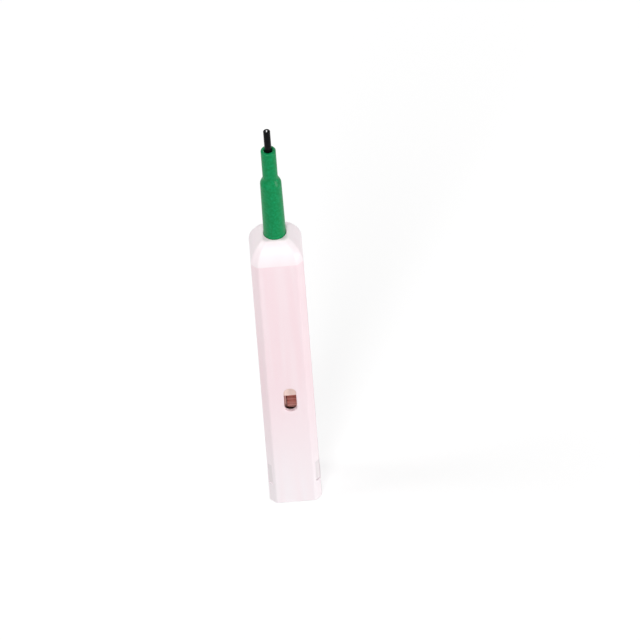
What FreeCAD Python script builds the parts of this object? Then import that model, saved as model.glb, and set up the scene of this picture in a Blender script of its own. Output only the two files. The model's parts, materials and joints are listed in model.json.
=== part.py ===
"""Square-bodied push pen that cleans fibre connector end faces with a wound thread.

Millimetres, +Z along the pen, origin at the centre of its flat base, window side facing -Y.
Pushing the nozzle into the case rolls the drive gear along a rack, which winds used thread on
the take-up reel, while a helical cam turns the tip half a turn.
"""

import FreeCAD
import Part
import math
import os

Vector = FreeCAD.Vector
Z_AXIS = Vector(0, 0, 1)
X_AXIS = Vector(1, 0, 0)

# ---------------------------------------------------------------- driving sizes: outer case
CASE_WIDTH = 18.0            # across flats
CASE_CORNER = 2.2            # chamfer on the four long corners
CASE_WALL = 1.5
BODY_HEIGHT = 111.0          # base to the foot of the shoulder
SHOULDER_HEIGHT = 8.0
SHOULDER_BULGE = 1.0         # how far the shoulder's faces swell beyond a flat slope
PLATEAU_WIDTH = 8.8
PLATEAU_CORNER = 1.2
CEILING_DROP = 1.0           # cavity ceiling below the foot of the shoulder
PLATEAU_WALL = 3.0           # bearing length of the nozzle hole
RECESS_SIDE_GAP = 1.6        # moulding recess beyond the nozzle hole, at its top
RECESS_DRAFT = 0.6           # the recess grows by this towards its mouth

WINDOW_WIDTH = 4.3
WINDOW_HEIGHT = 10.8
WINDOW_CENTRE_Z = 48.2
WINDOW_OFFSET_X = 0.7

LATCH_BOTTOM = 8.5           # side openings that the end plug snaps into
LATCH_HEIGHT = 9.0

# ---------------------------------------------------------------- driving sizes: end plug
PLUG_FLOOR = 3.0
TONGUE_WIDTH = 10.5
TONGUE_THICKNESS = 1.15
LATCH_PAD_GAP = 0.3          # around the pad in its opening
LATCH_PAD_RECESS = 0.2       # pad face below the case's face
PEDESTAL_HEIGHT = 9.0        # spring seat above the plug floor
SPRING_POST_HEIGHT = 5.0

# ---------------------------------------------------------------- driving sizes: stroke
PUSH_STROKE = 8.0            # the nozzle's travel into the case
TIP_FLOAT = 1.5              # the tip's own sprung travel
TIP_TURN = math.pi           # the tip's turn over the whole stroke

# ---------------------------------------------------------------- driving sizes: nozzle
NOZZLE_ROOT_DIAMETER = 7.7
NOZZLE_WAIST_DIAMETER = 7.3
NOZZLE_NECK_DIAMETER = 5.2
NOZZLE_BARREL_LENGTH = 23.0  # above the plateau
NOZZLE_CONE_LENGTH = 2.7
NOZZLE_NECK_LENGTH = 12.3
NOZZLE_LIP_ROUND = 0.6
NOZZLE_BORE = 2.9
NOZZLE_FLANGE_INSET = 0.3    # flange inside the frame's outline, each side
NOZZLE_FLANGE_THICKNESS = 2.5
NOZZLE_STEM_WIDTH = 9.0      # eight-sided stem that the frame's halves close round
NOZZLE_STEM_CORNER = 2.2
NOZZLE_RIM_WIDTH = 11.0
NOZZLE_RIM_THICKNESS = 1.4
SPRING_BORE = 6.2            # wide lower bore that houses the spindle fork and the tip spring
SPRING_BORE_DEPTH = 12.2     # above the frame

# ---------------------------------------------------------------- driving sizes: tip
TIP_DIAMETER = 2.4           # working end, which enters a 2.5 mm ferrule sleeve
TIP_SHANK_DIAMETER = 2.0     # inside the nozzle and the spindle
TIP_BORE = 1.2
TIP_EDGE_ROUND = 0.25
TIP_PROTRUSION = 8.7         # beyond the nozzle's lip
TIP_TAIL = 9.0               # below the cross key
COLLAR_DIAMETER = 5.4
COLLAR_THICKNESS = 1.5
CROSS_KEY_WIDTH = 0.8        # square section
TIP_SPRING_LENGTH = 8.0
TIP_SPRING_DIAMETER = 4.2
TIP_SPRING_WIRE = 0.4
TIP_SPRING_TURNS = 5
THREAD_DIAMETER = 0.5

# ---------------------------------------------------------------- driving sizes: spindle
SPINDLE_JOURNAL_DIAMETER = 5.0
SPINDLE_NECK_DIAMETER = 5.6
CAM_DIAMETER = 8.4
CAM_GROOVE_DEPTH = 1.4
CAM_PIN_DIAMETER = 1.8
CAM_END_MARGIN = 4.0
FORK_SLOT_BELOW_TOP = 3.5    # cross key below the spindle's top

# ---------------------------------------------------------------- driving sizes: frame and reels
FRAME_WALL = 1.2
WEB_THICKNESS = 2.2
TOP_WEB_THICKNESS = 1.7
REEL_BELOW_WINDOW = 2.6      # take-up centre below the window's centre
OPENING_ABOVE_REEL = 3.4     # frame opening's top edge above the take-up centre
AXLE_DIAMETER = 2.0
REEL_HUB_DIAMETER = 4.8
SPACER_DIAMETER = 3.8
REEL_FLANGE_THICKNESS = 0.8
FLANGE_LIP = 0.1             # reel flange beyond the gear's teeth
FLANGE_SHOWS = 0.75          # width of the take-up flange seen in the window
CLUTCH_FLANGE_THICKNESS = 1.6
CLUTCH_DEPTH = 1.1
CLUTCH_DIAMETER = 9.2
CLUTCH_TOOTH_HEIGHT = 0.5
CLUTCH_TEETH = 12
CLICK_TEETH = 24
CLICK_TOOTH_HEIGHT = 0.35
GEAR_TEETH = 22
GEAR_WIDTH = 4.1
PRESSURE_ANGLE = math.radians(20)
RACK_BACKING = 0.76          # drive bar behind the rack's teeth
RACK_SPARE_TEETH = 2         # past each end of the stroke
BAR_HEAD_WIDTH = 3.8
BAR_MARGIN = 1.2
USED_THREAD_DIAMETER = 7.8
FRESH_THREAD_BELOW_RIM = 0.5
THREAD_LANE = 1.8            # beside the supply reel, for the used thread
GUIDE_PIN_DIAMETER = 1.2
GUIDE_PIN_SPREAD = 3.4
THREAD_TURN_ROOM = 3.0       # between the guide pins and the spindle's web
THREAD_SLACK = 0.1           # between the thread and what it runs over
FINGER_THICKNESS = 0.5       # the click pawl and the brake finger
PAWL_ANGLE = math.radians(-25)
PAWL_LEAN = 0.9
BRAKE_ANGLE = math.radians(120)
BRAKE_OVERHANG = 0.7         # past the point where the finger touches the reel

# ---------------------------------------------------------------- driving sizes: return spring
RETURN_SPRING_DIAMETER = 9.2
RETURN_SPRING_WIRE = 0.8
RETURN_SPRING_TURNS = 7

# ---------------------------------------------------------------- fineness of swept shapes
COIL_STEPS = 10              # wire sections in one turn of a spring
BEND_STEPS = 4               # thread sections in one bend
SWEEP_SIDES = 6              # flat sides of swept wire and thread
GROOVE_STEPS = 8             # cutter sections along the cam groove
ROUND_STEPS = 2              # bands in a rounded corner of a turned piece
SLENDER_TAPER = 0.15         # slope below which a taper is drawn as a curve

# ---------------------------------------------------------------- clearances
PLUG_FIT = 0.05              # end plug in the case, each side
SLIDE_FIT = 0.2              # frame in the case, each side
RUNNING_FIT = 0.05           # radial, shafts in their holes
SEAT_FIT = 0.02              # radial, pins held in their holes
NOZZLE_FIT = 0.15            # radial, nozzle in the case's hole
SIDE_GAP = 0.2               # end play of turning pieces
REEL_GAP = 0.5               # around the reels
REST_GAP = 0.1               # at the stops that springs press against
CAM_FIT = 0.2                # cam pin in its groove, each side
BACKLASH = 0.12              # gear tooth thinner than its gap
FORK_FIT = 0.1               # cross key in the fork's slot, each side
FINGER_GAP = 0.05            # click pawl and brake finger above what they rub on

# ---------------------------------------------------------------- worked-out sizes
case_half = CASE_WIDTH / 2
cavity_half = case_half - CASE_WALL
cavity_corner = CASE_CORNER - CASE_WALL * (2 - math.sqrt(2))
ceiling_z = BODY_HEIGHT - CEILING_DROP
plateau_z = BODY_HEIGHT + SHOULDER_HEIGHT
hole_radius = NOZZLE_ROOT_DIAMETER / 2 + NOZZLE_FIT
window_left = WINDOW_OFFSET_X - WINDOW_WIDTH / 2

gear_module = (cavity_half - RACK_BACKING) / (GEAR_TEETH / 2 + 1.25)
gear_radius = gear_module * GEAR_TEETH / 2
gear_tip_radius = gear_radius + gear_module
rack_root_y = gear_radius + 1.25 * gear_module
tooth_pitch = math.pi * gear_module
reel_radius = gear_tip_radius + FLANGE_LIP

frame_half = cavity_half - SLIDE_FIT
frame_inner = frame_half - FRAME_WALL
turning_half = frame_inner - SIDE_GAP
supply_radius = frame_inner - SIDE_GAP
take_up_z = WINDOW_CENTRE_Z - REEL_BELOW_WINDOW
plate_top_z = take_up_z - reel_radius - REEL_GAP
frame_bottom_z = plate_top_z - FRAME_WALL
supply_z = take_up_z + reel_radius + supply_radius + REEL_GAP
guide_z = supply_z + supply_radius + REEL_GAP + GUIDE_PIN_DIAMETER / 2
lower_web_z = guide_z + GUIDE_PIN_DIAMETER / 2 + THREAD_TURN_ROOM
cam_bottom_z = lower_web_z + WEB_THICKNESS + SIDE_GAP
cam_pin_z = cam_bottom_z + CAM_END_MARGIN + CAM_PIN_DIAMETER / 2
cam_top_z = cam_pin_z + PUSH_STROKE + CAM_PIN_DIAMETER / 2 + CAM_END_MARGIN
upper_web_z = cam_top_z + SIDE_GAP

flange_top_z = ceiling_z - REST_GAP
frame_top_z = flange_top_z - NOZZLE_FLANGE_THICKNESS
top_web_z = frame_top_z - TOP_WEB_THICKNESS
rim_top_z = top_web_z - SEAT_FIT
nozzle_bottom_z = rim_top_z - NOZZLE_RIM_THICKNESS
nozzle_top_z = plateau_z + NOZZLE_BARREL_LENGTH + NOZZLE_CONE_LENGTH + NOZZLE_NECK_LENGTH
tip_top_z = nozzle_top_z + TIP_PROTRUSION
bore_step_z = frame_top_z + SPRING_BORE_DEPTH
collar_top_z = bore_step_z - REST_GAP
collar_bottom_z = collar_top_z - COLLAR_THICKNESS
spindle_top_z = collar_bottom_z - TIP_SPRING_LENGTH
cross_key_z = spindle_top_z - FORK_SLOT_BELOW_TOP
tip_bottom_z = cross_key_z - TIP_TAIL
pedestal_z = PLUG_FLOOR + PEDESTAL_HEIGHT
bar_top_z = cam_pin_z + CAM_PIN_DIAMETER / 2 + BAR_MARGIN
bar_head_z = take_up_z + reel_radius + REEL_GAP + BAR_MARGIN

reel_left = -turning_half
reel_right = window_left + FLANGE_SHOWS
gear_left = reel_right + SIDE_GAP
gear_right = gear_left + GEAR_WIDTH
drum_left = reel_left + REEL_FLANGE_THICKNESS
drum_right = reel_right - CLUTCH_FLANGE_THICKNESS
supply_left = drum_left + THREAD_LANE
fresh_thread_radius = supply_radius - FRESH_THREAD_BELOW_RIM


# ---------------------------------------------------------------- shape helpers
def block(x_range, y_range, z_range):
    """Box between two values on each axis."""
    size = [high - low for low, high in (x_range, y_range, z_range)]
    return Part.makeBox(*size, Vector(x_range[0], y_range[0], z_range[0]))


def rod_z(radius, bottom, top, x=0.0, y=0.0):
    """Cylinder along Z."""
    return Part.makeCylinder(radius, top - bottom, Vector(x, y, bottom), Z_AXIS)


def rod_x(radius, left, right, y, z):
    """Cylinder along X."""
    return Part.makeCylinder(radius, right - left, Vector(left, y, z), X_AXIS)


def octagon(half, corner, bottom, top):
    """Square column with chamfered corners."""
    flat = half - corner
    ring = [(half, -flat), (half, flat), (flat, half), (-flat, half),
            (-half, flat), (-half, -flat), (-flat, -half), (flat, -half)]
    points = [Vector(x, y, bottom) for x, y in ring]
    wire = Part.makePolygon(points + points[:1])
    return Part.Face(wire).extrude(Vector(0, 0, top - bottom))


def prism_x(outline, left, right):
    """Outline of (y, z) points extruded along X."""
    points = [Vector(left, y, z) for y, z in outline]
    wire = Part.makePolygon(points + points[:1])
    return Part.Face(wire).extrude(Vector(right - left, 0, 0))


def turned(outline):
    """Outline of (radius, z) points revolved about Z; a third value rounds an upper corner."""
    points = []
    for radius, z, *rounding in outline:
        cut = sum(rounding)
        for step in range(ROUND_STEPS + 1 if rounding else 1):
            angle = math.pi / 2 * step / ROUND_STEPS
            points.append(Vector(radius - cut + cut * math.cos(angle), 0,
                                 z - cut + cut * math.sin(angle)))
    edges = []
    for start, end in zip(points, points[1:] + points[:1]):
        curve = Part.BezierCurve()
        curve.setPoles([start, end])
        slender = 0 < abs(end.x - start.x) < SLENDER_TAPER * abs(end.z - start.z)
        edges.append(curve.toShape() if slender else Part.makeLine(start, end))
    return Part.Face(Part.Wire(edges)).revolve(Vector(), Z_AXIS, 360)


def sector(inner, outer, start, sweep, left, right, centre_z):
    """Part of a ring about an X axle; angles in degrees from +Y towards +Z."""
    points = [Vector(left, inner, 0), Vector(right, inner, 0),
              Vector(right, outer, 0), Vector(left, outer, 0)]
    ring = Part.Face(Part.makePolygon(points + points[:1])).revolve(Vector(), X_AXIS, sweep)
    ring.rotate(Vector(), X_AXIS, start)
    ring.translate(Vector(0, 0, centre_z))
    return ring


def sawtooth(crest, root, teeth, centre_z):
    """Closed outline of one-way teeth about an X axle."""
    step = 2 * math.pi / teeth
    outline = []
    for tooth in range(teeth):
        for radius, angle in ((root, tooth * step), (crest, (tooth + 0.98) * step)):
            outline.append((radius * math.cos(angle), centre_z + radius * math.sin(angle)))
    return outline


def skinned(rings):
    """Solid whose flat-faced skin joins rings of points, one to the next."""
    facets = [rings[0], rings[-1]]
    for near, far in zip(rings, rings[1:]):
        for side in range(len(near)):
            facets += [(near[side - 1], near[side], far[side]),
                       (near[side - 1], far[side], far[side - 1])]
    faces = [Part.Face(Part.makePolygon([*facet, facet[0]])) for facet in facets]
    return Part.makeSolid(Part.makeShell(faces)).removeSplitter()


def swept(stations, radius):
    """Flat-sided wire or thread whose sections stand square to (point, direction) stations."""
    start = stations[0][1]
    side = start.cross(X_AXIS if abs(start.x) < abs(start.z) else Z_AXIS)
    rings = []
    for point, direction in stations:
        axis = Vector(direction).normalize()
        side = (side - axis * side.dot(axis)).normalize()
        turns = [FreeCAD.Rotation(axis, 360 * step / SWEEP_SIDES) for step in range(SWEEP_SIDES)]
        rings.append([point + turn.multVec(side * radius) for turn in turns])
    return skinned(rings)


def coil_spring(diameter, wire, turns, bottom, top):
    """Open coil spring about the pen's axis."""
    mean = (diameter - wire) / 2
    rise = (top - bottom - wire) / (turns * COIL_STEPS)
    pitch = 2 * math.pi / COIL_STEPS
    stations = []
    for step in range(turns * COIL_STEPS + 1):
        x, y = math.cos(step * pitch), math.sin(step * pitch)
        point = Vector(mean * x, mean * y, bottom + wire / 2 + rise * step)
        stations.append((point, Vector(-mean * pitch * y, mean * pitch * x, rise)))
    return swept(stations, wire / 2)


def thread_run(points, radius, bend):
    """Thread along straight runs joined by tangent bends of one radius."""
    points = [Vector(*point) for point in points]
    stations = [(points[0], points[1] - points[0])]
    for before, corner, after in zip(points, points[1:], points[2:]):
        back = (before - corner).normalize()
        ahead = (after - corner).normalize()
        sweep = math.pi - back.getAngle(ahead)
        centre = corner + (back + ahead).normalize() * (bend / math.cos(sweep / 2))
        axis = ahead.cross(back)
        enter = corner + back * (bend * math.tan(sweep / 2)) - centre
        for step in range(BEND_STEPS + 1):
            turn = FreeCAD.Rotation(axis, math.degrees(sweep) * step / BEND_STEPS)
            point = centre + turn.multVec(enter)
            if (point - stations[-1][0]).Length > SEAT_FIT:
                stations.append((point, turn.multVec(back * -1)))
    stations.append((points[-1], points[-1] - points[-2]))
    return swept(stations, radius)


# ---------------------------------------------------------------- case body
def shoulder_profile(half, top_half, angle):
    """Column with swelling shoulders, extruded across the pen and turned about its axis."""
    chord = Vector(top_half - half, 0, SHOULDER_HEIGHT)
    outward = Vector(SHOULDER_HEIGHT, 0, half - top_half).normalize()
    middle = Vector(half, 0, BODY_HEIGHT) + chord * 0.5 + outward * SHOULDER_BULGE
    corners = [Vector(half, 0, 0), Vector(half, 0, BODY_HEIGHT), Vector(top_half, 0, plateau_z)]
    mirrored = [Vector(-point.x, 0, point.z) for point in corners + [middle]]
    edges = [
        Part.makeLine(corners[0], corners[1]),
        Part.Arc(corners[1], middle, corners[2]).toShape(),
        Part.makeLine(corners[2], mirrored[2]),
        Part.Arc(mirrored[2], mirrored[3], mirrored[1]).toShape(),
        Part.makeLine(mirrored[1], mirrored[0]),
        Part.makeLine(mirrored[0], corners[0]),
    ]
    column = Part.Face(Part.Wire(edges)).extrude(Vector(0, 2 * CASE_WIDTH, 0))
    column.translate(Vector(0, -CASE_WIDTH, 0))
    column.rotate(Vector(), Z_AXIS, angle)
    return column


def outer_case():
    """One moulded square sleeve with shoulder, viewing window and two latch openings."""
    diagonal = (CASE_WIDTH - CASE_CORNER) / math.sqrt(2)
    top_diagonal = (PLATEAU_WIDTH - PLATEAU_CORNER) / math.sqrt(2)
    shell = shoulder_profile(case_half, PLATEAU_WIDTH / 2, 0)
    shell = shell.common(shoulder_profile(case_half, PLATEAU_WIDTH / 2, 90))
    for angle in (45, 135):
        shell = shell.common(shoulder_profile(diagonal, top_diagonal, angle))

    recess_top = hole_radius + RECESS_SIDE_GAP
    recess_top_z = plateau_z - PLATEAU_WALL
    hollow = octagon(cavity_half, cavity_corner, 0, ceiling_z)
    hollow = hollow.fuse(turned([(0, 0), (recess_top + RECESS_DRAFT, 0),
                                 (recess_top + RECESS_DRAFT, ceiling_z),
                                 (recess_top, recess_top_z), (hole_radius, recess_top_z),
                                 (hole_radius, plateau_z), (0, plateau_z)]))
    shell = shell.cut(hollow)

    window_half = WINDOW_WIDTH / 2
    end_z = WINDOW_HEIGHT / 2 - window_half
    window = block((window_left, window_left + WINDOW_WIDTH), (-case_half, -cavity_half),
                   (WINDOW_CENTRE_Z - end_z, WINDOW_CENTRE_Z + end_z))
    for side in (-1, 1):
        centre = Vector(WINDOW_OFFSET_X, -case_half, WINDOW_CENTRE_Z + side * end_z)
        window = window.fuse(Part.makeCylinder(window_half, CASE_WALL, centre, Vector(0, 1, 0)))
    shell = shell.cut(window)

    for low, high in ((-case_half, -cavity_half), (cavity_half, case_half)):
        shell = shell.cut(block((low, high), (-case_half, case_half),
                                (LATCH_BOTTOM, LATCH_BOTTOM + LATCH_HEIGHT)))
    return shell.removeSplitter()


def base_plug():
    """End plug: floor, two snap tongues with latch pads, and a pedestal for the return spring."""
    half = cavity_half - PLUG_FIT
    plug = octagon(half, cavity_corner, 0, PLUG_FLOOR)
    pad_bottom = LATCH_BOTTOM + LATCH_PAD_GAP
    pad_top = LATCH_BOTTOM + LATCH_HEIGHT - LATCH_PAD_GAP
    outline = octagon(case_half - LATCH_PAD_RECESS, CASE_CORNER, pad_bottom, pad_top)
    width = (-TONGUE_WIDTH / 2, TONGUE_WIDTH / 2)
    for side in (-1, 1):
        tongue = sorted((side * (half - TONGUE_THICKNESS), side * half))
        root = sorted((side * half, side * cavity_half))
        pad = sorted((side * cavity_half, side * case_half))
        plug = plug.fuse(block(tongue, width, (0, pad_top)))
        plug = plug.fuse(block(root, width, (pad_bottom, pad_top)))
        plug = plug.fuse(outline.common(block(pad, (-case_half, case_half), (0, pad_top))))
    seat_half = RETURN_SPRING_DIAMETER / 2 + SLIDE_FIT
    plug = plug.fuse(octagon(seat_half, seat_half * (2 - math.sqrt(2)), 0, pedestal_z))
    post_radius = RETURN_SPRING_DIAMETER / 2 - RETURN_SPRING_WIRE - SLIDE_FIT
    post = rod_z(post_radius, 0, pedestal_z + SPRING_POST_HEIGHT)
    return plug.fuse(post).removeSplitter()


def rack_teeth(left, right):
    """Straight-flanked rack teeth that roll with the drive gear over the whole stroke."""
    quarter = tooth_pitch / 4
    lean = math.tan(PRESSURE_ANGLE)
    tip_y = gear_radius - gear_module
    tip_half = quarter - gear_module * lean
    root_half = quarter + 1.25 * gear_module * lean
    below = math.ceil(PUSH_STROKE / tooth_pitch) + RACK_SPARE_TEETH
    outline = []
    for tooth in range(-below, RACK_SPARE_TEETH + 1):
        z = take_up_z + tooth * tooth_pitch
        outline += [(rack_root_y, z - root_half), (tip_y, z - tip_half),
                    (tip_y, z + tip_half), (rack_root_y, z + root_half)]
    outline += [(cavity_half, outline[-1][1]), (cavity_half, outline[0][1])]
    return prism_x(outline, left, right)


def drive_bar():
    """Bar fixed to the case's rear wall, with the rack below and the cam pin above."""
    left, right = gear_left + SIDE_GAP, gear_right - SIDE_GAP
    teeth = rack_teeth(left, right)
    thickness = (rack_root_y, cavity_half)
    bottom = teeth.BoundBox.ZMin - BAR_MARGIN
    bar = teeth.fuse(block((left, right), thickness, (bottom, bar_head_z + BAR_MARGIN)))
    head = (-BAR_HEAD_WIDTH / 2, BAR_HEAD_WIDTH / 2)
    bar = bar.fuse(block(head, thickness, (bar_head_z, bar_top_z)))
    pin_tip_y = CAM_DIAMETER / 2 - CAM_GROOVE_DEPTH + CAM_FIT
    pin = Part.makeCylinder(CAM_PIN_DIAMETER / 2, cavity_half - pin_tip_y,
                            Vector(0, pin_tip_y, cam_pin_z), Vector(0, 1, 0))
    return bar.fuse(pin).removeSplitter()


def return_spring():
    """Main spring between the end plug and the frame."""
    return coil_spring(RETURN_SPRING_DIAMETER, RETURN_SPRING_WIRE, RETURN_SPRING_TURNS,
                       pedestal_z, frame_bottom_z)


# ---------------------------------------------------------------- carriage body
def frame():
    """Whole inner frame: open-sided column with bearing webs, before it is split in two."""
    whole = octagon(frame_half, cavity_corner, frame_bottom_z, frame_top_z)
    inner = (-frame_inner, frame_inner)
    bays = ((plate_top_z, lower_web_z), (lower_web_z + WEB_THICKNESS, upper_web_z),
            (upper_web_z + WEB_THICKNESS, top_web_z))
    for bay in bays:
        whole = whole.cut(block(inner, inner, bay))
    whole = whole.cut(block(inner, (-case_half, case_half),
                            (plate_top_z, take_up_z + OPENING_ABOVE_REEL)))
    slot_sides = (-BAR_HEAD_WIDTH / 2 - 2 * SIDE_GAP, gear_right + SIDE_GAP)
    slot_front = gear_radius - gear_module - 2 * SIDE_GAP
    slot_top = bar_top_z + PUSH_STROKE + SIDE_GAP
    whole = whole.cut(block(slot_sides, (slot_front, case_half), (frame_bottom_z, slot_top)))

    whole = whole.cut(rod_z(SPINDLE_JOURNAL_DIAMETER / 2 + RUNNING_FIT,
                            lower_web_z, lower_web_z + WEB_THICKNESS))
    whole = whole.cut(rod_z(SPINDLE_NECK_DIAMETER / 2 + RUNNING_FIT,
                            upper_web_z, upper_web_z + WEB_THICKNESS))
    whole = whole.cut(octagon(NOZZLE_STEM_WIDTH / 2 + SEAT_FIT, NOZZLE_STEM_CORNER,
                              top_web_z, frame_top_z))
    for z in (take_up_z, supply_z):
        whole = whole.cut(rod_x(AXLE_DIAMETER / 2 + SEAT_FIT, -case_half, case_half, 0, z))
    socket = GUIDE_PIN_DIAMETER / 2 + SEAT_FIT
    for y in (-GUIDE_PIN_SPREAD / 2, GUIDE_PIN_SPREAD / 2):
        whole = whole.cut(block((-case_half, case_half), (y - socket, y + socket),
                                (guide_z - socket, guide_z + socket)))
    return whole


def frame_half_shell(x_range):
    """One of the two frame mouldings that close round the reels."""
    depth = (-case_half, case_half)
    return frame().common(block(x_range, depth, (0, plateau_z))).removeSplitter()


def nozzle():
    """Stepped guide nozzle with a keyed flange and stem below and a rounded lip above."""
    barrel_top_z = plateau_z + NOZZLE_BARREL_LENGTH
    body = turned([
        (0, frame_top_z), (NOZZLE_ROOT_DIAMETER / 2, frame_top_z),
        (NOZZLE_ROOT_DIAMETER / 2, plateau_z), (NOZZLE_WAIST_DIAMETER / 2, barrel_top_z),
        (NOZZLE_NECK_DIAMETER / 2, barrel_top_z + NOZZLE_CONE_LENGTH),
        (NOZZLE_NECK_DIAMETER / 2, nozzle_top_z, NOZZLE_LIP_ROUND), (0, nozzle_top_z),
    ])
    body = body.fuse(octagon(frame_half - NOZZLE_FLANGE_INSET, cavity_corner,
                             frame_top_z, flange_top_z))
    body = body.fuse(octagon(NOZZLE_STEM_WIDTH / 2, NOZZLE_STEM_CORNER, rim_top_z, frame_top_z))
    body = body.fuse(octagon(NOZZLE_RIM_WIDTH / 2, NOZZLE_STEM_CORNER,
                             nozzle_bottom_z, rim_top_z))
    body = body.cut(rod_z(SPRING_BORE / 2, nozzle_bottom_z, bore_step_z))
    return body.cut(rod_z(NOZZLE_BORE / 2, bore_step_z, nozzle_top_z)).removeSplitter()


def axle(z):
    """Steel pin held by the frame's two sides."""
    return rod_x(AXLE_DIAMETER / 2, -frame_half + SIDE_GAP, frame_half - SIDE_GAP, 0, z)


def guide_pins():
    """Two thin pins that lead the thread into the spindle."""
    ends = (-frame_half + SIDE_GAP, frame_half - SIDE_GAP)
    pins = [rod_x(GUIDE_PIN_DIAMETER / 2, *ends, y, guide_z)
            for y in (-GUIDE_PIN_SPREAD / 2, GUIDE_PIN_SPREAD / 2)]
    return Part.makeCompound(pins)


def brake_finger():
    """Springy strip on the frame's front wall that rubs on the supply reel's right rim."""
    outward = Vector(0, math.cos(BRAKE_ANGLE), math.sin(BRAKE_ANGLE))
    along = Vector(0, outward.z, -outward.y)
    near = supply_radius + FINGER_GAP
    outline = []
    for radius in (near, near + FINGER_THICKNESS):
        middle = Vector(0, 0, supply_z) + outward * radius
        root = middle - along * ((middle.y + frame_inner) / along.y)
        outline.append([(point.y, point.z) for point in (root, middle + along * BRAKE_OVERHANG)])
    return prism_x(outline[0] + outline[1][::-1], turning_half - REEL_FLANGE_THICKNESS,
                   turning_half)


def click_pawl():
    """Springy finger on the frame's floor that clicks over the take-up reel's rim."""
    tip_radius = reel_radius + FINGER_GAP
    tip = (tip_radius * math.cos(PAWL_ANGLE), take_up_z + tip_radius * math.sin(PAWL_ANGLE))
    back_y = tip[0] + FINGER_THICKNESS
    foot_y = tip[0] - PAWL_LEAN
    outline = [(foot_y, plate_top_z), (foot_y + 2 * FINGER_THICKNESS, plate_top_z),
               (back_y, tip[1]), (back_y, tip[1] + FINGER_THICKNESS), tip,
               (tip[0], tip[1] - FINGER_THICKNESS)]
    return prism_x(outline, reel_left, drum_left)


def thread_path(lane_x, side, wound_radius, reel_z):
    """Thread from a reel, round its guide pin and up the spindle's bore."""
    radius = THREAD_DIAMETER / 2
    bend = GUIDE_PIN_DIAMETER / 2 + radius + THREAD_SLACK
    pin = Vector(0, GUIDE_PIN_SPREAD / 2 + bend + THREAD_SLACK, guide_z)
    above = Vector(0, pin.y, guide_z - reel_z)
    leaves = wound_radius + radius + SEAT_FIT
    angle = math.atan2(above.z, above.y) - math.acos(leaves / above.Length)
    strand = side * (radius + SEAT_FIT)
    mouth_z = lower_web_z - SIDE_GAP
    return thread_run([
        (lane_x, side * leaves * math.cos(angle), reel_z + leaves * math.sin(angle)),
        (lane_x, side * pin.y, guide_z),
        (0, strand, mouth_z),
        (0, strand, cam_bottom_z + CAM_END_MARGIN),
    ], radius, bend)


def feed_thread():
    """Clean thread from the supply reel, over the rear guide pin."""
    return thread_path((supply_left + turning_half) / 2, 1, fresh_thread_radius, supply_z)


def return_thread():
    """Used thread from the tip, over the front guide pin to the take-up reel."""
    return thread_path(drum_left + THREAD_LANE / 2, -1, USED_THREAD_DIAMETER / 2, take_up_z)


# ---------------------------------------------------------------- gear and reels
def gear_outline():
    """Involute gear outline, a gap facing the rack."""
    base = gear_radius * math.cos(PRESSURE_ANGLE)
    root = gear_radius - 1.25 * gear_module
    half_angle = (tooth_pitch / 2 - BACKLASH) / (2 * gear_radius)
    involute_at_pitch = math.tan(PRESSURE_ANGLE) - PRESSURE_ANGLE
    flank = []
    for radius in (base, gear_radius, gear_tip_radius):
        pressure = math.acos(base / radius)
        flank.append((radius, half_angle + involute_at_pitch - math.tan(pressure) + pressure))
    flank.insert(0, (root, flank[0][1]))
    outline = []
    for tooth in range(GEAR_TEETH):
        centre = (tooth + 0.5) * 2 * math.pi / GEAR_TEETH
        sides = [(r, centre - a) for r, a in flank] + [(r, centre + a) for r, a in flank[::-1]]
        outline += [(r * math.cos(a), take_up_z + r * math.sin(a)) for r, a in sides]
    return outline


def drive_gear():
    """Gear driven by the rack, with two spring pawls that carry the take-up reel one way."""
    gear = prism_x(gear_outline(), gear_left, gear_right)
    gear = gear.fuse(rod_x(SPACER_DIAMETER / 2, gear_right, turning_half, 0, take_up_z))
    pawl_left = reel_right - CLUTCH_DEPTH + SIDE_GAP
    gear = gear.fuse(rod_x(SPACER_DIAMETER / 2, pawl_left, gear_left, 0, take_up_z))
    step = 360 / CLUTCH_TEETH
    clutch_radius = CLUTCH_DIAMETER / 2
    arm_outer = clutch_radius - 2 * CLUTCH_TOOTH_HEIGHT
    arm_inner = arm_outer - CLUTCH_TOOTH_HEIGHT
    nib_outer = clutch_radius - CLUTCH_TOOTH_HEIGHT / 2
    for half_turn in (0, 180):
        end = half_turn + 0.25 * step
        arm = sector(arm_inner, arm_outer, end - 4 * step, 4 * step, pawl_left, gear_left, take_up_z)
        root = sector(SPACER_DIAMETER / 2 - SIDE_GAP, arm_outer, end - 4 * step, 0.5 * step,
                      pawl_left, gear_left, take_up_z)
        nib = sector(arm_inner, nib_outer, end - 0.2 * step, 0.2 * step,
                     pawl_left, gear_left, take_up_z)
        gear = gear.fuse(arm.fuse(root).fuse(nib))
    bore = rod_x(AXLE_DIAMETER / 2 + RUNNING_FIT, -case_half, case_half, 0, take_up_z)
    return gear.cut(bore).removeSplitter()


def take_up_reel():
    """Reel with click teeth on its left rim and one-way clutch teeth inside its right flange."""
    crest = reel_radius
    rim = sawtooth(crest, crest - CLICK_TOOTH_HEIGHT, CLICK_TEETH, take_up_z)
    reel = prism_x(rim, reel_left, drum_left)
    reel = reel.fuse(rod_x(REEL_HUB_DIAMETER / 2, reel_left, reel_right, 0, take_up_z))
    reel = reel.fuse(rod_x(reel_radius, drum_right, reel_right, 0, take_up_z))
    clutch = sawtooth(CLUTCH_DIAMETER / 2 - CLUTCH_TOOTH_HEIGHT, CLUTCH_DIAMETER / 2,
                      CLUTCH_TEETH, take_up_z)
    reel = reel.cut(prism_x(clutch, reel_right - CLUTCH_DEPTH, reel_right))
    bore = rod_x(AXLE_DIAMETER / 2 + RUNNING_FIT, reel_left, reel_right, 0, take_up_z)
    return reel.cut(bore).removeSplitter()


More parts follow.
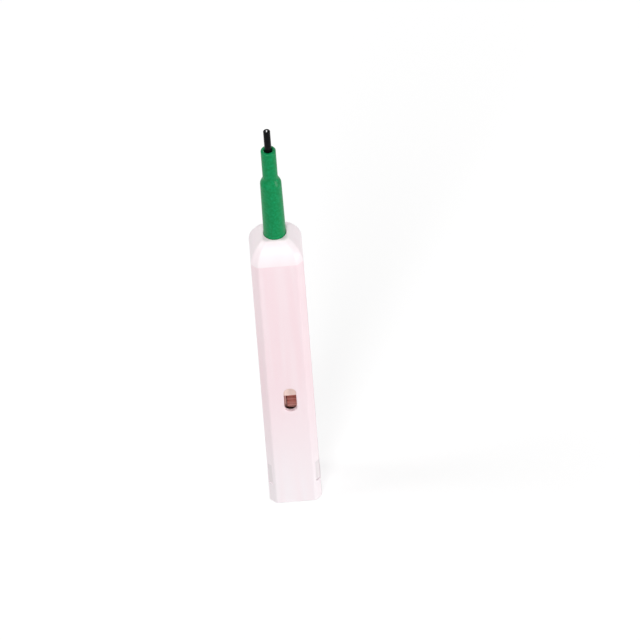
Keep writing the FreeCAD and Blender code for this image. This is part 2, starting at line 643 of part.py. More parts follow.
def supply_reel():
    """Plain reel of fresh thread, with a spacer that leaves a lane for the used thread."""
    reel = rod_x(REEL_HUB_DIAMETER / 2, supply_left, turning_half, 0, supply_z)
    reel = reel.fuse(rod_x(SPACER_DIAMETER / 2, -turning_half, supply_left, 0, supply_z))
    for left in (supply_left, turning_half - REEL_FLANGE_THICKNESS):
        reel = reel.fuse(rod_x(supply_radius, left, left + REEL_FLANGE_THICKNESS, 0, supply_z))
    bore = rod_x(AXLE_DIAMETER / 2 + RUNNING_FIT, -turning_half, turning_half, 0, supply_z)
    return reel.cut(bore).removeSplitter()


def winding(radius, left, right, z):
    """Wound thread on a reel's hub, as one ring."""
    left, right = left + SEAT_FIT, right - SEAT_FIT
    ring = rod_x(radius, left, right, 0, z)
    return ring.cut(rod_x(REEL_HUB_DIAMETER / 2 + SEAT_FIT, left, right, 0, z))


# ---------------------------------------------------------------- spindle and tip
def cam_groove():
    """Helical groove that turns the spindle as the fixed cam pin travels along it."""
    overrun = CAM_PIN_DIAMETER / 2
    floor = CAM_DIAMETER / 2 - CAM_GROOVE_DEPTH
    ceiling = CAM_DIAMETER / 2 + CAM_GROOVE_DEPTH
    slope = math.atan2(PUSH_STROKE, TIP_TURN * (floor + CAM_DIAMETER / 2) / 2)
    half = CAM_PIN_DIAMETER / 2 + CAM_FIT
    across = Vector(math.sin(slope), 0, math.cos(slope)) * half
    corners = [Vector(0, radius, 0) + across * side
               for radius, side in ((floor, -1), (ceiling, -1), (ceiling, 1), (floor, 1))]
    rings = []
    for step in range(GROOVE_STEPS + 1):
        rise = (PUSH_STROKE + 2 * overrun) * step / GROOVE_STEPS - overrun
        turn = FreeCAD.Rotation(Z_AXIS, math.degrees(TIP_TURN) * rise / PUSH_STROKE)
        rings.append([turn.multVec(corner) + Vector(0, 0, cam_pin_z + rise)
                      for corner in corners])
    return skinned(rings)


def spindle():
    """Turning spindle: journal, grooved cam drum and slotted fork that drives the tip."""
    bottom_z = lower_web_z - SIDE_GAP
    body = rod_z(SPINDLE_JOURNAL_DIAMETER / 2, bottom_z, cam_bottom_z)
    body = body.fuse(rod_z(CAM_DIAMETER / 2, cam_bottom_z, cam_top_z))
    body = body.fuse(rod_z(SPINDLE_NECK_DIAMETER / 2, cam_top_z, spindle_top_z))
    body = body.cut(cam_groove())
    body = body.cut(rod_z(TIP_SHANK_DIAMETER / 2 + RUNNING_FIT, bottom_z, spindle_top_z))
    slot_half = CROSS_KEY_WIDTH / 2 + FORK_FIT
    across = (-SPINDLE_NECK_DIAMETER, SPINDLE_NECK_DIAMETER)
    slot = block(across, (-slot_half, slot_half),
                 (cross_key_z - TIP_FLOAT - slot_half, cross_key_z + slot_half))
    return body.cut(slot).removeSplitter()


def tip_tube():
    """Thin black tube that carries the thread to the connector's face."""
    radius = TIP_DIAMETER / 2
    tube = turned([(0, tip_bottom_z), (TIP_SHANK_DIAMETER / 2, tip_bottom_z),
                   (TIP_SHANK_DIAMETER / 2, nozzle_top_z), (radius, nozzle_top_z),
                   (radius, tip_top_z, TIP_EDGE_ROUND), (0, tip_top_z)])
    tube = tube.cut(rod_z(TIP_BORE / 2, tip_bottom_z, tip_top_z))
    slot_half = CROSS_KEY_WIDTH / 2 + SEAT_FIT
    return tube.cut(block((-radius, radius), (-slot_half, slot_half),
                          (cross_key_z - slot_half, cross_key_z + slot_half)))


def tip_collar():
    """Ring pressed on the tube, between its spring and the nozzle's inner step."""
    ring = rod_z(COLLAR_DIAMETER / 2, collar_bottom_z, collar_top_z)
    return ring.cut(rod_z(TIP_SHANK_DIAMETER / 2 + SEAT_FIT, collar_bottom_z, collar_top_z))


def cross_key():
    """Square key through the tube that turns it with the fork and slides in the fork's slot."""
    half_length = SPINDLE_NECK_DIAMETER / 2 - SIDE_GAP
    half = CROSS_KEY_WIDTH / 2
    return block((-half_length, half_length), (-half, half),
                 (cross_key_z - half, cross_key_z + half))


def tip_spring():
    """Small spring that keeps the tip forward."""
    return coil_spring(TIP_SPRING_DIAMETER, TIP_SPRING_WIRE, TIP_SPRING_TURNS,
                       spindle_top_z, collar_bottom_z)


def wiping_thread():
    """Hairpin of thread inside the tube, turned over its working end."""
    radius = THREAD_DIAMETER / 2
    spread = radius + SEAT_FIT
    bottom = cross_key_z + CROSS_KEY_WIDTH / 2 + SEAT_FIT
    top = tip_top_z - radius + spread
    return thread_run([(0, -spread, bottom), (0, -spread, top), (0, spread, top),
                       (0, spread, bottom)], radius, spread)


PIECES = {
    "outer_case": outer_case(),
    "base_plug": base_plug(),
    "drive_bar": drive_bar(),
    "return_spring": return_spring(),
    "frame_left": frame_half_shell((-case_half, 0)),
    "frame_right": frame_half_shell((0, case_half)),
    "nozzle": nozzle(),
    "take_up_axle": axle(take_up_z),
    "supply_axle": axle(supply_z),
    "guide_pins": guide_pins(),
    "brake_finger": brake_finger(),
    "click_pawl": click_pawl(),
    "feed_thread": feed_thread(),
    "return_thread": return_thread(),
    "drive_gear": drive_gear(),
    "take_up_reel": take_up_reel(),
    "used_thread": winding(USED_THREAD_DIAMETER / 2, drum_left, drum_right, take_up_z),
    "supply_reel": supply_reel(),
    "fresh_thread": winding(fresh_thread_radius, supply_left + REEL_FLANGE_THICKNESS,
                            turning_half - REEL_FLANGE_THICKNESS, supply_z),
    "spindle": spindle(),
    "tip_tube": tip_tube(),
    "tip_collar": tip_collar(),
    "cross_key": cross_key(),
    "tip_spring": tip_spring(),
    "wiping_thread": wiping_thread(),
}

os.makedirs("parts", exist_ok=True)
for name, shape in PIECES.items():
    shape.exportStep(f"parts/{name}.step")
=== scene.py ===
"""Looks of a fibre connector cleaning pen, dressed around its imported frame.

Every size is in metres. The case, nozzle, tip tube, wiping thread, springs and windings are new
pieces. The others are copies of their nodes, most of them with softened edges.
"""

from __future__ import annotations

import json
import logging
import math
from dataclasses import dataclass, field
from enum import Enum
from typing import Callable, Iterable, Sequence

import bmesh
import bpy
from mathutils import Matrix, Vector

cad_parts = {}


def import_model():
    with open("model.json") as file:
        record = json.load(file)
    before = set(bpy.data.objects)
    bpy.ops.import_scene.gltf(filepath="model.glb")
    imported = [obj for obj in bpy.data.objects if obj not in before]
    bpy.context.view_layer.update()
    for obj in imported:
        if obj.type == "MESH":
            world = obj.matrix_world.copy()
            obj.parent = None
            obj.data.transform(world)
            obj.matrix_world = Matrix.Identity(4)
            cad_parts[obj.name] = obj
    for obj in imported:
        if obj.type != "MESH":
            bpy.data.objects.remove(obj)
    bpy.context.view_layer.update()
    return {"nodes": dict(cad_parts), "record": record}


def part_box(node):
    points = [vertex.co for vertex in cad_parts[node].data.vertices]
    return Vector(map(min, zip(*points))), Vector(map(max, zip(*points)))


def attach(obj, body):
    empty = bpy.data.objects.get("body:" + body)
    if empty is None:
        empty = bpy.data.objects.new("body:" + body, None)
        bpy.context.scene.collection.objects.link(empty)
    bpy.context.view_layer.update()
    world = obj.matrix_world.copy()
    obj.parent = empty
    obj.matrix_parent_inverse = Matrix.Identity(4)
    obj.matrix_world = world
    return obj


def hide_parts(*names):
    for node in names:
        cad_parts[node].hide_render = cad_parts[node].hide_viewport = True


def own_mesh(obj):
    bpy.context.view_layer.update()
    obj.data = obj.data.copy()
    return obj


LOG = logging.getLogger("cleaning_pen")
MM = 0.001
Z_AXIS = Vector((0, 0, 1))
X_AXIS = Vector((1, 0, 0))
WELD = 1e-7  # points closer than this are one point
NEAR = 1e-6  # slack where edges are picked by their place
RIM_ANGLE = 1.0  # radians; the edges of a cut opening bend by more
BROW_ANGLE = 0.3  # radians; the edges round the shoulder's top bend by more
NOZZLE_ROOT = 3.85 * MM  # radius of the nozzle where it leaves the case

# Noise levels between which each surface effect fades in.
PATCH_SPAN = (0.35, 0.7)
SPECK_SPAN = (0.52, 0.75)
STREAK_SPAN = (0.62, 0.74)
SMEAR_SPAN = (0.45, 0.75)


class Along(Enum):
    """Axis that a turned piece is spun about."""

    PEN = "Z"
    AXLE = "X"


# ------------------------------------------------------------------ shader effects
def new_group(name: str, inputs: dict[str, tuple[str, object]],
              outputs: dict[str, str]) -> bpy.types.NodeTree:
    """Makes an empty shader node group with named sockets.

    Args:
        name: The group's name.
        inputs: Socket name to its kind (Float or Color) and default value.
        outputs: Socket name to its kind.

    Returns:
        The group, holding only its input and output nodes.
    """
    group = bpy.data.node_groups.new(name, "ShaderNodeTree")
    for label, (kind, default) in inputs.items():
        socket = group.interface.new_socket(label, in_out="INPUT",
                                            socket_type=f"NodeSocket{kind}")
        socket.default_value = default
    for label, kind in outputs.items():
        group.interface.new_socket(label, in_out="OUTPUT", socket_type=f"NodeSocket{kind}")
    group.nodes.new("NodeGroupInput")
    group.nodes.new("NodeGroupOutput")
    return group


@dataclass
class Wiring:
    """Short names for adding and joining nodes in one tree."""

    tree: bpy.types.NodeTree

    def add(self, kind: str, **settings: object) -> bpy.types.Node:
        """Adds a node.

        Args:
            kind: The node's type without the leading ShaderNode.
            settings: Attributes to set on it.

        Returns:
            The new node.
        """
        node = self.tree.nodes.new(f"ShaderNode{kind}")
        for key, value in settings.items():
            setattr(node, key, value)
        return node

    def join(self, source: bpy.types.NodeSocket, target: bpy.types.NodeSocket) -> None:
        """Links one socket to another."""
        self.tree.links.new(source, target)

    def feed(self, target: bpy.types.NodeSocket, value: object) -> None:
        """Links a socket to the target, or sets the target's own value."""
        if isinstance(value, bpy.types.NodeSocket):
            self.join(value, target)
        else:
            target.default_value = value

    def math(self, operation: str, *values: object) -> bpy.types.NodeSocket:
        """Adds a Math node and returns its result."""
        node = self.add("Math", operation=operation)
        for socket, value in zip(node.inputs, values):
            self.feed(socket, value)
        return node.outputs[0]

    def noise(self, vector: object, scale: object, detail: float = 2.0) -> bpy.types.NodeSocket:
        """Adds a Noise texture and returns its value."""
        node = self.add("TexNoise")
        self.feed(node.inputs["Vector"], vector)
        self.feed(node.inputs["Scale"], scale)
        node.inputs["Detail"].default_value = detail
        return node.outputs["Fac"]

    def stretched(self, place: bpy.types.NodeSocket, length: object) -> bpy.types.NodeSocket:
        """Draws a pattern's place out along the pen."""
        parts = self.add("SeparateXYZ")
        self.join(place, parts.inputs[0])
        drawn = self.add("CombineXYZ")
        self.join(parts.outputs["X"], drawn.inputs["X"])
        self.join(parts.outputs["Y"], drawn.inputs["Y"])
        self.join(self.math("DIVIDE", parts.outputs["Z"], length), drawn.inputs["Z"])
        return drawn.outputs[0]

    def mix(self, factor: object, first: object, second: object) -> bpy.types.NodeSocket:
        """Adds a colour Mix node and returns its result."""
        node = self.add("Mix", data_type="RGBA")
        self.feed(node.inputs[0], factor)
        self.feed(node.inputs[6], first)
        self.feed(node.inputs[7], second)
        return node.outputs[2]

    def ramp(self, value: object, low: float, high: float) -> bpy.types.NodeSocket:
        """Maps a value from low..high to a smooth 0..1."""
        node = self.add("MapRange", interpolation_type="SMOOTHSTEP")
        self.feed(node.inputs["Value"], value)
        node.inputs["From Min"].default_value = low
        node.inputs["From Max"].default_value = high
        return node.outputs["Result"]


def build_grain_group() -> bpy.types.NodeTree:
    """Moulded surface: fine relief, a mottle drawn out along the pen into long soft bands and
    pale specks.

    Returns:
        The node group.
    """
    group = new_group(
        "moulded_grain",
        {"Colour": ("Color", (1, 1, 1, 1)), "Shade": ("Color", (0.5, 0.5, 0.5, 1)),
         "Grain Scale": ("Float", 3000.0), "Mottle Scale": ("Float", 300.0),
         "Mottle": ("Float", 0.3), "Flow": ("Float", 1.0), "Roughness": ("Float", 0.4),
         "Swing": ("Float", 0.1)},
        {"Colour": "Color", "Roughness": "Float", "Height": "Float"},
    )
    wire = Wiring(group)
    entry = group.nodes["Group Input"].outputs
    leave = group.nodes["Group Output"].inputs
    place = wire.add("TexCoord").outputs["Object"]
    fine = wire.noise(place, entry["Grain Scale"], 3.0)
    broad = wire.noise(wire.stretched(place, entry["Flow"]), entry["Mottle Scale"], 2.0)
    patch = wire.ramp(broad, *PATCH_SPAN)
    speck = wire.ramp(fine, *SPECK_SPAN)
    mask = wire.math("MULTIPLY", wire.math("ADD", wire.math("MULTIPLY", patch, 0.6),
                                           wire.math("MULTIPLY", speck, 0.8)), entry["Mottle"])
    wire.join(wire.mix(mask, entry["Colour"], entry["Shade"]), leave["Colour"])
    lift = wire.math("MULTIPLY", wire.math("SUBTRACT", fine, 0.5), entry["Swing"])
    wire.join(wire.math("ADD", entry["Roughness"], lift), leave["Roughness"])
    wire.join(fine, leave["Height"])
    return group


def build_scuff_group() -> bpy.types.NodeTree:
    """Handling marks: long faint scratches and soft smears.

    Returns:
        The node group.
    """
    group = new_group(
        "handling_marks",
        {"Colour": ("Color", (1, 1, 1, 1)), "Mark": ("Color", (0.6, 0.6, 0.6, 1)),
         "Amount": ("Float", 0.2), "Stretch": ("Float", 8.0), "Scale": ("Float", 260.0)},
        {"Colour": "Color", "Mask": "Float"},
    )
    wire = Wiring(group)
    entry = group.nodes["Group Input"].outputs
    leave = group.nodes["Group Output"].inputs
    place = wire.add("TexCoord").outputs["Object"]
    drawn = wire.stretched(place, entry["Stretch"])
    streak = wire.ramp(wire.noise(drawn, entry["Scale"], 4.0), *STREAK_SPAN)
    smear = wire.ramp(wire.noise(place, 60.0, 3.0), *SMEAR_SPAN)
    mask = wire.math("MULTIPLY", wire.math("ADD", streak, wire.math("MULTIPLY", smear, 0.5)),
                     entry["Amount"])
    wire.join(wire.mix(mask, entry["Colour"], entry["Mark"]), leave["Colour"])
    wire.join(mask, leave["Mask"])
    return group


def build_streak_group() -> bpy.types.NodeTree:
    """Drawn or ground metal: fine lines along one axis.

    Returns:
        The node group.
    """
    group = new_group(
        "ground_lines",
        {"Colour": ("Color", (1, 1, 1, 1)), "Line": ("Color", (0.4, 0.4, 0.4, 1)),
         "Scale": ("Float", 4000.0), "Roughness": ("Float", 0.3)},
        {"Colour": "Color", "Roughness": "Float", "Height": "Float"},
    )
    wire = Wiring(group)
    entry = group.nodes["Group Input"].outputs
    leave = group.nodes["Group Output"].inputs
    place = wire.add("TexCoord").outputs["Object"]
    squeeze = wire.add("Mapping")
    squeeze.inputs["Scale"].default_value = (0.02, 1.0, 1.0)
    wire.join(place, squeeze.inputs["Vector"])
    lines = wire.noise(squeeze.outputs[0], entry["Scale"], 2.0)
    wire.join(wire.mix(wire.math("MULTIPLY", lines, 0.5), entry["Colour"], entry["Line"]),
              leave["Colour"])
    wire.join(wire.math("ADD", entry["Roughness"], wire.math("MULTIPLY", lines, 0.15)),
              leave["Roughness"])
    wire.join(lines, leave["Height"])
    return group


@dataclass
class Effects:
    """The node groups that several finishes share, each built once."""

    grain: bpy.types.NodeTree = field(default_factory=build_grain_group)
    scuffs: bpy.types.NodeTree = field(default_factory=build_scuff_group)
    lines: bpy.types.NodeTree = field(default_factory=build_streak_group)


# ------------------------------------------------------------------ finishes
Colour = tuple[float, float, float]


def opaque(colour: Colour) -> tuple[float, float, float, float]:
    """A colour with full alpha."""
    return (*colour, 1.0)


def fresh_material(name: str) -> tuple[bpy.types.Material, Wiring, bpy.types.Node]:
    """Makes a node material.

    Args:
        name: The material's name.

    Returns:
        The material, its wiring and its Principled shader.
    """
    material = bpy.data.materials.new(name)
    material.use_nodes = True
    return material, Wiring(material.node_tree), material.node_tree.nodes["Principled BSDF"]


def place_group(wire: Wiring, group: bpy.types.NodeTree, **values: object) -> bpy.types.Node:
    """Places a node group and sets its inputs.

    Args:
        wire: The material's wiring.
        group: The group to place.
        values: Input name, with underscores for spaces, to its value or source socket.

    Returns:
        The group's node.
    """
    node = wire.add("Group", node_tree=group)
    for key, value in values.items():
        wire.feed(node.inputs[key.replace("_", " ")], value)
    return node


def bump(wire: Wiring, shader: bpy.types.Node, height: object, depth: float) -> None:
    """Adds relief of a given depth in metres to a shader."""
    node = wire.add("Bump")
    node.inputs["Strength"].default_value = 1.0
    node.inputs["Distance"].default_value = depth
    wire.feed(node.inputs["Height"], height)
    wire.join(node.outputs[0], shader.inputs["Normal"])


@dataclass(frozen=True)
class PaintedLightFade:
    """Another tone of a plastic towards one end, faded between two heights: painted light,
    standing in for light that falls more strongly there.
    """

    colour: Colour
    start: float
    full: float


@dataclass(frozen=True)
class MouldedPlastic:
    """Injection-moulded plastic with grain, mottle and handling marks."""

    name: str
    colour: Colour
    shade: Colour
    roughness: float = 0.4
    swing: float = 0.1
    grain_scale: float = 3000.0
    mottle_scale: float = 300.0
    mottle: float = 0.3
    banding: float = 1.0
    # Paler tones faded in towards the ends are painted light, not tones of the plastic.
    ends: tuple[PaintedLightFade, ...] = ()
    relief: float = 0.01 * MM
    marks: float = 0.0
    mark: Colour = (0.5, 0.5, 0.5)
    gloss: float = 0.5

    def build(self, effects: Effects) -> bpy.types.Material:
        """Builds the material.

        Args:
            effects: The shared node groups.

        Returns:
            The material.
        """
        material, wire, shader = fresh_material(self.name)
        grain = place_group(wire, effects.grain, Colour=self.ground(wire),
                            Shade=opaque(self.shade), Grain_Scale=self.grain_scale,
                            Mottle_Scale=self.mottle_scale, Mottle=self.mottle,
                            Flow=self.banding, Roughness=self.roughness, Swing=self.swing)
        marks = place_group(wire, effects.scuffs, Colour=grain.outputs["Colour"],
                            Mark=opaque(self.mark), Amount=self.marks)
        wire.join(marks.outputs["Colour"], shader.inputs["Base Color"])
        rough = wire.math("ADD", grain.outputs["Roughness"],
                          wire.math("MULTIPLY", marks.outputs["Mask"], 0.4))
        wire.join(rough, shader.inputs["Roughness"])
        shader.inputs["Specular IOR Level"].default_value = self.gloss
        bump(wire, shader, grain.outputs["Height"], self.relief)
        return material

    def ground(self, wire: Wiring) -> object:
        """The plain colour, faded to the tones of its ends, which are painted light."""
        colour: object = opaque(self.colour)
        for end in self.ends:
            parts = wire.add("SeparateXYZ")
            wire.join(wire.add("TexCoord").outputs["Object"], parts.inputs[0])
            fade = wire.ramp(parts.outputs["Z"], end.start, end.full)
            colour = wire.mix(fade, colour, opaque(end.colour))
        return colour


@dataclass(frozen=True)
class Metal:
    """Drawn or ground metal."""

    name: str
    colour: Colour
    line: Colour
    roughness: float = 0.28
    relief: float = 0.003 * MM

    def build(self, effects: Effects) -> bpy.types.Material:
        """Builds the material.

        Args:
            effects: The shared node groups.

        Returns:
            The material.
        """
        material, wire, shader = fresh_material(self.name)
        lines = place_group(wire, effects.lines, Colour=opaque(self.colour),
                            Line=opaque(self.line), Roughness=self.roughness)
        wire.join(lines.outputs["Colour"], shader.inputs["Base Color"])
        wire.join(lines.outputs["Roughness"], shader.inputs["Roughness"])
        shader.inputs["Metallic"].default_value = 1.0
        bump(wire, shader, lines.outputs["Height"], self.relief)
        return material


@dataclass(frozen=True)
class Thread:
    """Fine white cleaning thread."""

    name: str
    colour: Colour
    shade: Colour
    roughness: float = 0.85
    relief: float = 0.02 * MM
    fibre_scale: float = 9000.0
    mottle_scale: float = 2500.0
    sheen: float = 0.4

    def build(self, effects: Effects) -> bpy.types.Material:
        """Builds the material.

        Args:
            effects: The shared node groups.

        Returns:
            The material.
        """
        material, wire, shader = fresh_material(self.name)
        fuzz = place_group(wire, effects.grain, Colour=opaque(self.colour),
                           Shade=opaque(self.shade), Grain_Scale=self.fibre_scale,
                           Mottle_Scale=self.mottle_scale, Mottle=0.6,
                           Roughness=self.roughness, Swing=0.1)
        wire.join(fuzz.outputs["Colour"], shader.inputs["Base Color"])
        wire.join(fuzz.outputs["Roughness"], shader.inputs["Roughness"])
        shader.inputs["Sheen Weight"].default_value = self.sheen
        bump(wire, shader, fuzz.outputs["Height"], self.relief)
        return material


FINISHES = {
    "case_white": MouldedPlastic("case_white", (0.96, 0.755, 0.80), (0.985, 0.85, 0.885),
                                 roughness=0.36, swing=0.12, grain_scale=5200.0,
                                 # The mottle is drawn out along the pen into long soft paler
                                 # bands.
                                 mottle_scale=240.0, mottle=0.8, banding=16.0,
                                 # Painted light: paler towards the foot, standing in for light
                                 # thrown up from the floor.
                                 ends=(PaintedLightFade((0.985, 0.92, 0.95), 64 * MM, 0.0),
                                       # Painted light: paler up the shoulder, standing in for
                                       # the light that falls on its upward faces.
                                       PaintedLightFade((0.98, 0.89, 0.92), 110.9 * MM, 111.3 * MM)),
                                 relief=0.004 * MM,
                                 marks=0.06, mark=(0.84, 0.68, 0.72)),
    "plug_white": MouldedPlastic("plug_white", (0.86, 0.79, 0.81), (0.91, 0.86, 0.88),
                                 roughness=0.42, grain_scale=4200.0, mottle_scale=150.0,
                                 relief=0.005 * MM, marks=0.15, mark=(0.55, 0.50, 0.52)),
    "nozzle_green": MouldedPlastic("nozzle_green", (0.001, 0.22, 0.064), (0.007, 0.36, 0.14),
                                   roughness=0.36, swing=0.2, grain_scale=2600.0,
                                   mottle_scale=1100.0, mottle=0.6, relief=0.012 * MM,
                                   marks=0.05, mark=(0.02, 0.36, 0.16), gloss=0.14),
    "frame_cream": MouldedPlastic("frame_cream", (0.88, 0.68, 0.61), (0.93, 0.77, 0.71),
                                  roughness=0.5, mottle=0.4, relief=0.008 * MM,
                                  marks=0.15, mark=(0.60, 0.44, 0.38)),
    "gear_brown": MouldedPlastic("gear_brown", (0.50, 0.17, 0.14), (0.66, 0.30, 0.26),
                                 roughness=0.42, grain_scale=4000.0, mottle_scale=600.0,
                                 mottle=0.45, relief=0.006 * MM, marks=0.3,
                                 mark=(0.50, 0.26, 0.22)),
    "reel_rose": MouldedPlastic("reel_rose", (0.70, 0.38, 0.34), (0.80, 0.50, 0.46),
                                roughness=0.45, grain_scale=4000.0, mottle_scale=600.0,
                                relief=0.006 * MM, marks=0.2, mark=(0.62, 0.40, 0.36)),
    "tip_black": MouldedPlastic("tip_black", (0.004, 0.004, 0.005), (0.012, 0.012, 0.014),
                                roughness=0.14, swing=0.06, grain_scale=6000.0,
                                mottle_scale=1200.0, mottle=0.3, relief=0.002 * MM,
                                marks=0.05, mark=(0.03, 0.03, 0.033), gloss=0.05),
    "thread_white": Thread("thread_white", (0.86, 0.87, 0.88), (0.62, 0.64, 0.67)),
    "pin_steel": Metal("pin_steel", (0.56, 0.56, 0.58), (0.36, 0.36, 0.38)),
    "spring_steel": Metal("spring_steel", (0.42, 0.42, 0.44), (0.25, 0.25, 0.26), 0.35),
}


# ------------------------------------------------------------------ workshop
def put(name: str, data: bpy.types.ID) -> bpy.types.Object:
    """Makes an object of some data and puts it in the scene."""
    made = bpy.data.objects.new(name, data)
    bpy.context.scene.collection.objects.link(made)
    return made


def discard(spent: bpy.types.Object) -> None:
    """Removes a helper object and its mesh."""
    mesh = spent.data
    bpy.data.objects.remove(spent)
    bpy.data.meshes.remove(mesh)


def sharp_edges(mesh: bmesh.types.BMesh, angle: float) -> list[bmesh.types.BMEdge]:
    """Edges whose two faces bend by more than an angle in radians."""
    return [e for e in mesh.edges if len(e.link_faces) == 2 and e.calc_face_angle(0.0) > angle]


@dataclass
class Workshop:
    """Turns bmeshes into finished pieces, dresses them and hangs them on their bodies."""

    slots: dict[str, str]
    bodies: dict[str, str]
    nodes: dict[str, bpy.types.Object]
    effects: Effects = field(default_factory=Effects)
    materials: dict[str, bpy.types.Material] = field(default_factory=dict)

    def material(self, slot: str) -> bpy.types.Material:
        """The material of a slot, built when first asked for."""
        if slot not in self.materials:
            self.materials[slot] = FINISHES[slot].build(self.effects)
        return self.materials[slot]

    def piece(self, name: str, mesh: bmesh.types.BMesh, sharp: float = 32.0) -> bpy.types.Object:
        """Makes an object of a bmesh, smooth but for its sharp edges.

        Args:
            name: The object's name.
            mesh: The bmesh, freed here.
            sharp: The angle in degrees past which an edge stays sharp.

        Returns:
            The object.
        """
        bmesh.ops.remove_doubles(mesh, verts=mesh.verts, dist=WELD)
        bmesh.ops.recalc_face_normals(mesh, faces=mesh.faces)
        data = bpy.data.meshes.new(name)
        mesh.to_mesh(data)
        mesh.free()
        data.polygons.foreach_set("use_smooth", [True] * len(data.polygons))
        data.set_sharp_from_angle(angle=math.radians(sharp))
        return put(name, data)

    def stand_for(self, piece: bpy.types.Object, node: str) -> bpy.types.Object:
        """Dresses a piece as its node and hangs it on the node's body.

        Args:
            piece: The finished piece.
            node: The node that it replaces.

        Returns:
            The piece.
        """
        slot = self.slots[node]
        piece.data.materials.clear()
        piece.data.materials.append(self.material(slot))
        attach(piece, self.bodies[node])
        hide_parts(node)
        faces = sum(len(face.vertices) - 2 for face in piece.data.polygons)
        LOG.info("%s on %s: %d triangles", piece.name, self.bodies[node], faces)
        return piece

    def even_shading(self, piece: bpy.types.Object) -> None:
        """Keeps flat faces flat beside narrow rounded edges."""
        even = piece.modifiers.new("even_shading", "WEIGHTED_NORMAL")
        even.keep_sharp = True

    def welded_copy(self, node: str) -> bmesh.types.BMesh:
        """Copies a node's mesh, its triangles joined into whole faces."""
        mesh = bmesh.new()
        mesh.from_mesh(self.nodes[node].data)
        bmesh.ops.remove_doubles(mesh, verts=mesh.verts, dist=NEAR)
        bmesh.ops.dissolve_limit(mesh, angle_limit=math.radians(0.5), verts=mesh.verts,
                                 edges=mesh.edges, delimit={"NORMAL"})
        return mesh

    def softened_copy(self, node: str, edge: float, steps: int = 2,
                      sharp: float = 35.0) -> bpy.types.Object:
        """Copies a node's mesh with its sharp edges rounded.

        Args:
            node: The node to copy.
            edge: The rounding's width.
            steps: The rounding's segments.
            sharp: The angle in degrees past which an edge is rounded.

        Returns:
            The dressed piece.
        """
        mesh = self.welded_copy(node)
        if edge > 0:
            round_edges(mesh, sharp_edges(mesh, math.radians(sharp)), edge, steps)
        piece = self.piece(f"{node}_dressed", mesh)
        self.even_shading(piece)
        return self.stand_for(piece, node)

    def carve(self, piece: bpy.types.Object, cutter: bpy.types.Object) -> None:
        """Cuts one piece out of another and removes the cutter."""
        cut = piece.modifiers.new("cut", "BOOLEAN")
        cut.operation = "DIFFERENCE"
        cut.solver = "EXACT"
        cut.object = cutter
        graph = bpy.context.evaluated_depsgraph_get()
        carved = bpy.data.meshes.new_from_object(piece.evaluated_get(graph))
        piece.modifiers.clear()
        old = piece.data
        piece.data = carved
        carved.name = piece.name
        bpy.data.meshes.remove(old)
        discard(cutter)


def round_edges(mesh: bmesh.types.BMesh, edges: Sequence[bmesh.types.BMEdge], width: float,
                steps: int) -> None:
    """Bevels edges to a round.

    Args:
        mesh: The bmesh.
        edges: The edges to round.
        width: The rounding's width.
        steps: The rounding's segments.
    """
    bmesh.ops.bevel(mesh, geom=list(edges), offset=width, offset_type="OFFSET",
                    segments=steps, profile=0.5, affect="EDGES", clamp_overlap=True,
                    material=-1)


def spin_full(mesh: bmesh.types.BMesh, geom: list, centre: Vector, axis: Vector,
              steps: int) -> None:
    """Spins geometry once round an axis and joins its end to its start."""
    bmesh.ops.spin(mesh, geom=geom, cent=centre, axis=axis, dvec=Vector(), angle=2 * math.pi,
                   steps=steps, use_merge=True, use_normal_flip=False, use_duplicate=False)


def turned(outline: Sequence[tuple[float, float]], about: Along = Along.PEN,
           centre: Vector = Vector(), steps: int = 96) -> bmesh.types.BMesh:
    """Spins an outline into a closed turned solid.

    Args:
        outline: Points of (radius, distance along the axis), open or from axis to axis.
        about: The axis to spin about.
        centre: A point on the axis.
        steps: The number of segments.

    Returns:
        The bmesh.
    """
    mesh = bmesh.new()
    if about is Along.PEN:
        points = [Vector((radius, 0, along)) for radius, along in outline]
    else:
        points = [Vector((along, radius, 0)) for radius, along in outline]
    verts = [mesh.verts.new(point + centre) for point in points]
    edges = [mesh.edges.new(pair) for pair in zip(verts, verts[1:])]
    if (points[0] - points[-1]).length > WELD and outline[0][0] > 0 and outline[-1][0] > 0:
        edges.append(mesh.edges.new((verts[-1], verts[0])))
    axis = Z_AXIS if about is Along.PEN else X_AXIS
    spin_full(mesh, verts + edges, centre, axis, steps)
    bmesh.ops.remove_doubles(mesh, verts=mesh.verts, dist=WELD)
    return mesh


def arc(centre: tuple[float, float], radius: float, start: float, end: float,
        steps: int) -> list[tuple[float, float]]:
    """Points of a round corner in an outline.

    Args:
        centre: The corner's centre.
        radius: Its radius.
        start: First angle in degrees, from the outward direction.
        end: Last angle in degrees.
        steps: The number of segments.

    Returns:
        The points.
    """
    angles = [math.radians(start + (end - start) * i / steps) for i in range(steps + 1)]
    return [(centre[0] + radius * math.cos(a), centre[1] + radius * math.sin(a))
            for a in angles]


def column(half: float, corner: float, bottom: float,
           ridge: float = 0.0) -> tuple[bmesh.types.BMesh, bmesh.types.BMFace]:
    """Starts a square column with chamfered corners.

    Args:
        half: Half the width across flats.
        corner: The chamfer.
        bottom: Height of its foot.
        ridge: Rounding of the chamfers' ridges, if any.

    Returns:
        The bmesh and its one face, to be extruded.
    """
    mesh = bmesh.new()
    flat = half - corner
    ring = [(half, -flat), (half, flat), (flat, half), (-flat, half),
            (-half, flat), (-half, -flat), (-flat, -half), (flat, -half)]
    mesh.faces.new([mesh.verts.new((x, y, bottom)) for x, y in ring])
    if ridge > 0:
        bmesh.ops.bevel(mesh, geom=mesh.verts[:], offset=ridge, offset_type="OFFSET",
                        segments=4, profile=0.5, affect="VERTICES", clamp_overlap=True,
                        material=-1)
    mesh.faces.ensure_lookup_table()
    return mesh, mesh.faces[0]


